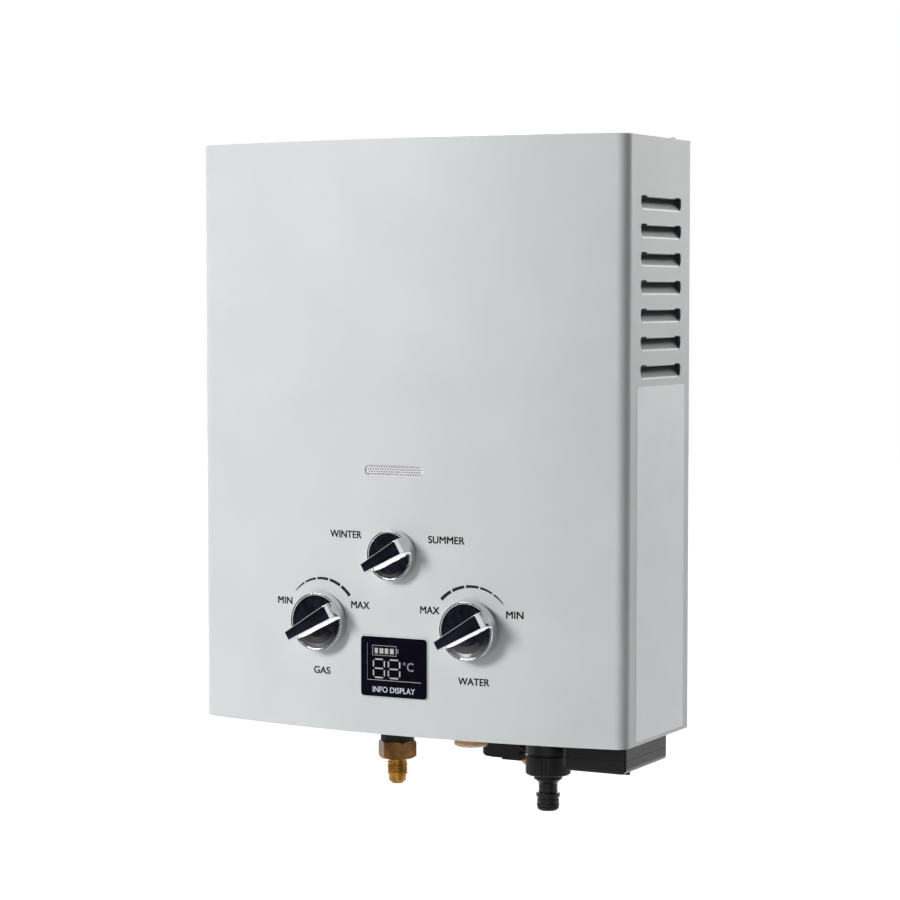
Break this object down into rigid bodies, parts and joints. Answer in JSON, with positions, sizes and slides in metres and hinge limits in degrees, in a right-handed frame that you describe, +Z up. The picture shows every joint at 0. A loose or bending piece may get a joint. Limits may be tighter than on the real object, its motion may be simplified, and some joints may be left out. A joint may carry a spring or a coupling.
{
  "type": "portable gas water heater",
  "caption": "Wall-hung instant gas water heater with a bowed painted steel cover, louvred sides, turning control knobs, a display, and gas and water fittings under the case.",
  "frame": {"origin": "centre of the hanging hole, on the back face of the back plate", "axes": "+X to the right seen from the front, +Y to the wall behind, +Z up"},
  "size_m": [0.34, 0.1481, 0.4881],
  "materials": {
    "painted_steel": "smooth semi-gloss powder coat",
    "bare_steel": "galvanised sheet, dull",
    "copper": "bright copper sheet and tube",
    "brass": "turned brass, slightly dulled",
    "cast_aluminium": "die-cast, as cast",
    "chromed_plastic": "bright chrome plating on moulded ABS",
    "black_plastic": "moulded black plastic, fine grain",
    "display_black": "gloss black acrylic",
    "clear_plastic": "milky translucent polyethylene",
    "rubber_black": "moulded nitrile rubber",
    "ceramic_white": "glazed ceramic sleeve",
    "lead_red": "silicone lead insulation",
    "board_green": "circuit board lacquer",
    "cell_wrap": "plain battery cell sleeve",
    "spring_steel": "plated spring steel"
  },
  "bodies": {
    "root": {"front_cover": "painted_steel", "back_plate": "bare_steel", "bottom_plate": "bare_steel", "top_panel": "painted_steel", "cover_screws": "spring_steel", "flue_hood": "bare_steel", "chamber_shell": "copper", "fin_pack": "copper", "exchanger_tube": "copper", "exchanger_brackets": "bare_steel", "hot_pipe": "copper", "cold_pipe": "copper", "pipe_nuts": "brass", "thermal_cutout": "black_plastic", "burner_frame": "bare_steel", "burner_bars": "bare_steel", "gas_manifold": "cast_aluminium", "gas_nozzles": "brass", "electrodes": "ceramic_white", "electrode_leads": "lead_red", "season_valve": "cast_aluminium", "gas_link_pipe": "cast_aluminium", "gas_valve": "cast_aluminium", "gas_solenoid": "black_plastic", "water_valve": "brass", "diaphragm": "rubber_black", "diaphragm_cover": "cast_aluminium", "diaphragm_screws": "spring_steel", "switch_bracket": "bare_steel", "micro_switch": "black_plastic", "control_box": "black_plastic", "sight_mesh": "bare_steel", "display_lens": "display_black", "display_frame": "black_plastic", "display_board": "board_green", "gas_inlet": "brass", "gas_ring": "rubber_black", "hot_outlet": "brass", "outlet_cap": "clear_plastic", "water_inlet": "brass", "inlet_filter": "bare_steel", "inlet_collar": "black_plastic", "hose_spigot": "black_plastic", "spigot_seal": "rubber_black", "battery_box": "black_plastic", "battery_cells": "cell_wrap", "top_contact": "spring_steel", "lid_pin": "spring_steel", "relief_valve": "brass", "relief_pin": "spring_steel"},
    "gas_knob": {"gas_knob": "chromed_plastic", "gas_spindle": "brass"},
    "water_knob": {"water_knob": "chromed_plastic", "water_spindle": "brass"},
    "season_knob": {"season_knob": "chromed_plastic", "season_spindle": "brass"},
    "battery_lid": {"battery_lid": "black_plastic", "lid_contact": "spring_steel"},
    "relief_lever": {"relief_lever": "black_plastic"},
    "push_rod": {"push_rod": "spring_steel"}
  },
  "joints": [
    {"name": "gas_knob_turn", "type": "hinge", "parent": "root", "child": "gas_knob", "pos_m": [-0.06, -0.125, -0.314], "axis": [0, -1, 0], "range_deg": [0, 120]},
    {"name": "water_knob_turn", "type": "hinge", "parent": "root", "child": "water_knob", "pos_m": [0.06, -0.125, -0.314], "axis": [0, -1, 0], "range_deg": [0, 120]},
    {"name": "season_knob_turn", "type": "hinge", "parent": "root", "child": "season_knob", "pos_m": [0, -0.125, -0.264], "axis": [0, -1, 0], "range_deg": [0, 120]},
    {"name": "battery_lid_swing", "type": "hinge", "parent": "root", "child": "battery_lid", "pos_m": [0.11145, -0.054, -0.4039], "axis": [0, 1, 0], "range_deg": [0, 80]},
    {"name": "relief_lever_lift", "type": "hinge", "parent": "root", "child": "relief_lever", "pos_m": [0.056, -0.028, -0.414], "axis": [0, -1, 0], "range_deg": [0, 60], "stiffness_Nm_per_rad": 0.05, "springref_deg": -20.05},
    {"name": "push_rod_slide", "type": "slide", "parent": "root", "child": "push_rod", "axis": [-1, 0, 0], "range_m": [0, 0.003], "stiffness_N_per_m": 300, "springref_m": -0.001}
  ]
}
